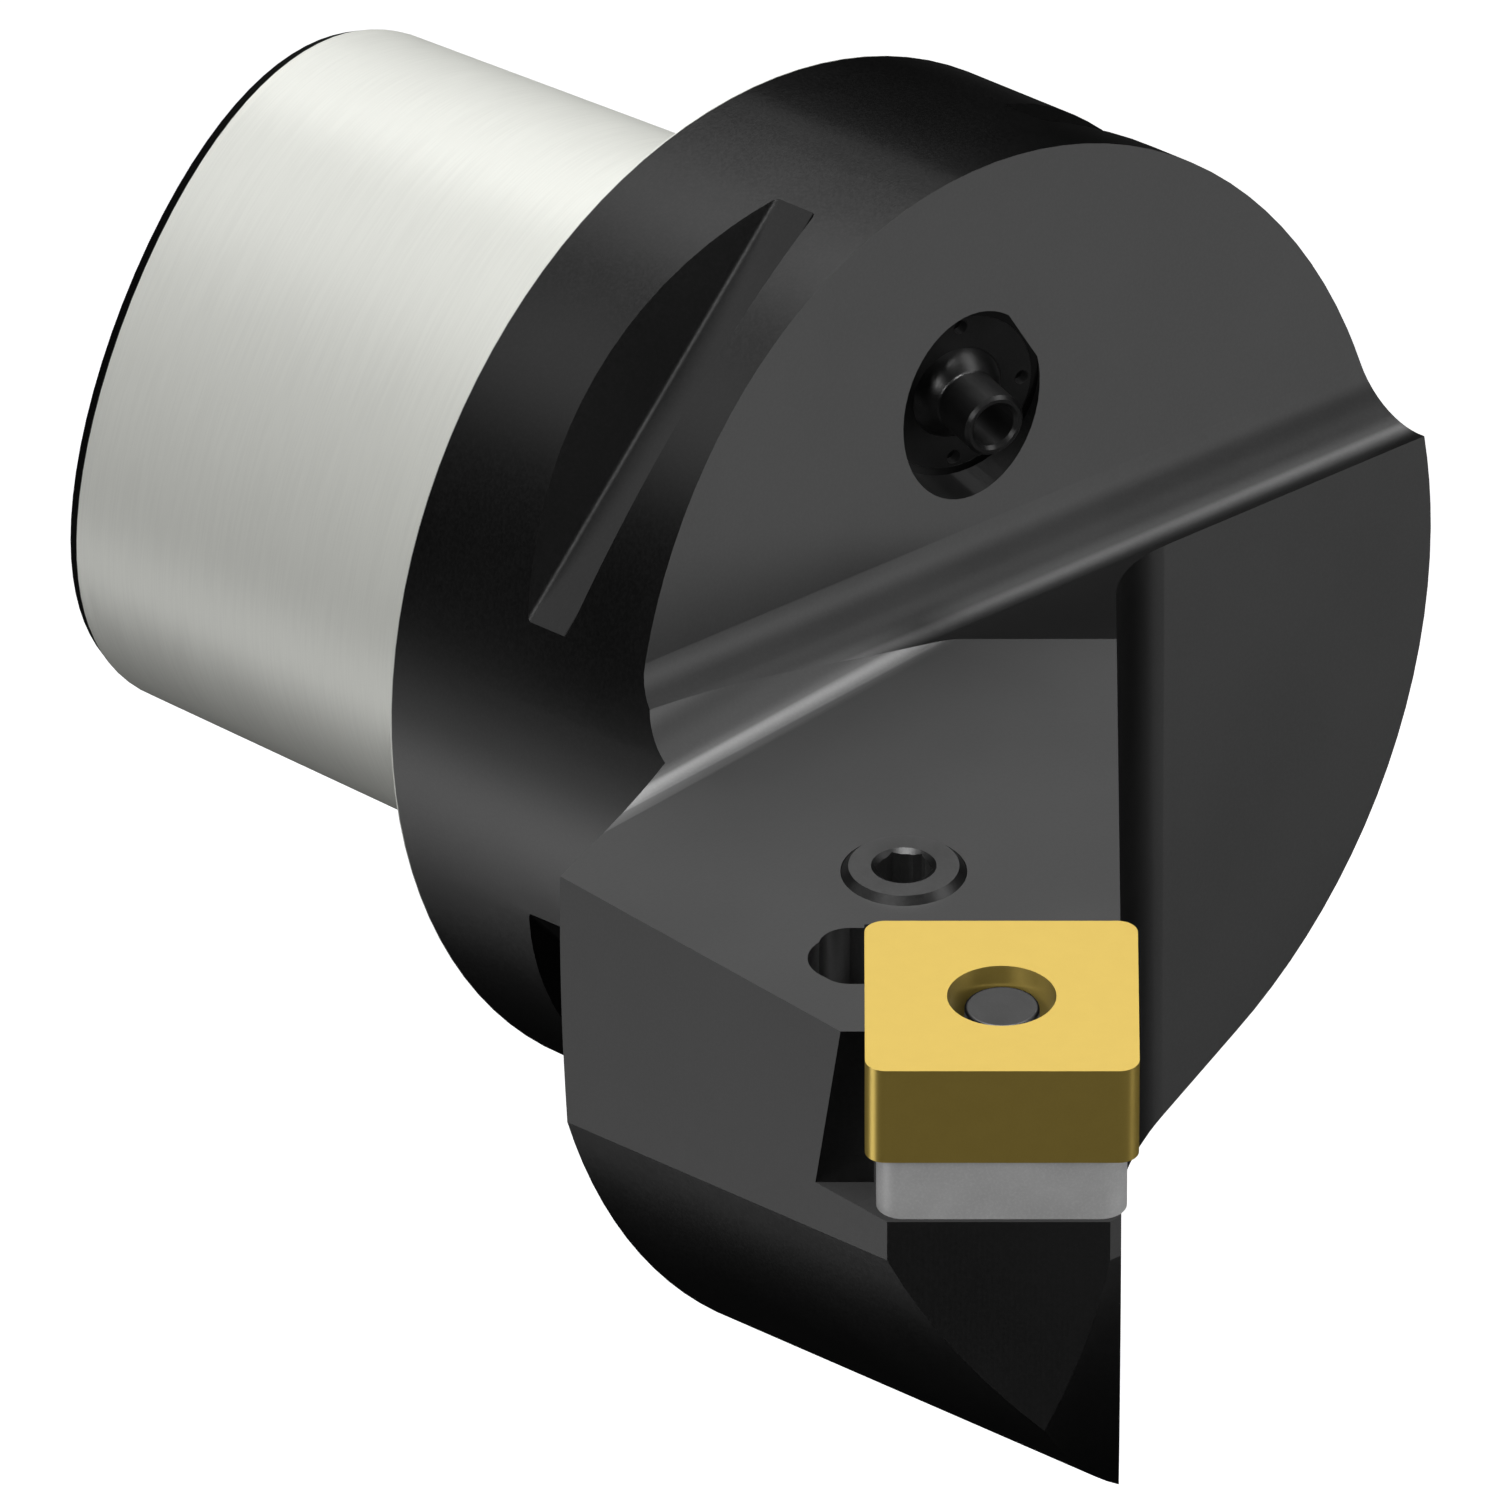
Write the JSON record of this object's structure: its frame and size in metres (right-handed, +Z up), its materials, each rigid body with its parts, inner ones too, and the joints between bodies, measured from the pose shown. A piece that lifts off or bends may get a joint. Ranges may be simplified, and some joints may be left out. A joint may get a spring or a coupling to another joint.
{
  "type": "turning tool holder",
  "caption": "Quick-change turning tool head: polygon-taper shank, round flange, 45-degree lever-clamped square insert on a shim, adjustable coolant nozzle.",
  "frame": {"origin": "the coupling axis at the flange's contact face, inside the centre bolt's thread", "axes": "+X along the coupling axis towards the insert, +Z up on the chip (rake) side, the insert on the -Y side"},
  "size_m": [0.102, 0.0765, 0.0683],
  "materials": {
    "oxide_steel": "black oxide, matte; the taper is ground bright",
    "coated_carbide": "gold titanium nitride coating, satin",
    "plain_carbide": "ground grey carbide",
    "spring_steel": "dark spring steel",
    "lever_steel": "plain dark steel",
    "screw_steel": "black oxide",
    "nozzle_steel": "blackened steel, semi-gloss",
    "ring_steel": "blackened steel",
    "seat_brass": "machined brass"
  },
  "bodies": {
    "holder": {"holder_body": "oxide_steel", "insert": "coated_carbide", "shim": "plain_carbide", "shim_pin": "spring_steel", "nozzle_seat": "seat_brass"},
    "lever": {"clamping_lever": "lever_steel"},
    "screw": {"lever_screw": "screw_steel"},
    "nozzle": {"nozzle_ball": "nozzle_steel"},
    "ring": {"nozzle_ring": "ring_steel"}
  },
  "joints": [
    {"name": "screw_travel", "type": "slide", "parent": "holder", "child": "screw", "axis": [0.0976, -0.0976, 0.9904], "range_m": [0, 0.0011]},
    {"name": "lever_tilt", "type": "hinge", "parent": "holder", "child": "lever", "pos_m": [0.05244, -0.03255, -0.0153], "axis": [0.3591, 0.9316, 0.0564], "range_deg": [0, 5.2]},
    {"name": "nozzle_tilt", "type": "hinge", "parent": "holder", "child": "nozzle", "pos_m": [0.01614, -0.00141, 0.01751], "axis": [-0.2701, -0.9628, 0], "range_deg": [-15, 15]},
    {"name": "ring_turn", "type": "hinge", "parent": "holder", "child": "ring", "pos_m": [0.01732, -0.00174, 0.0174], "axis": [0.9588, -0.269, -0.091], "range_deg": [0, 90]}
  ],
  "couplings": [
    {"joint": "lever_tilt", "follows": "screw_travel", "rad_per_m": 80.6}
  ]
}
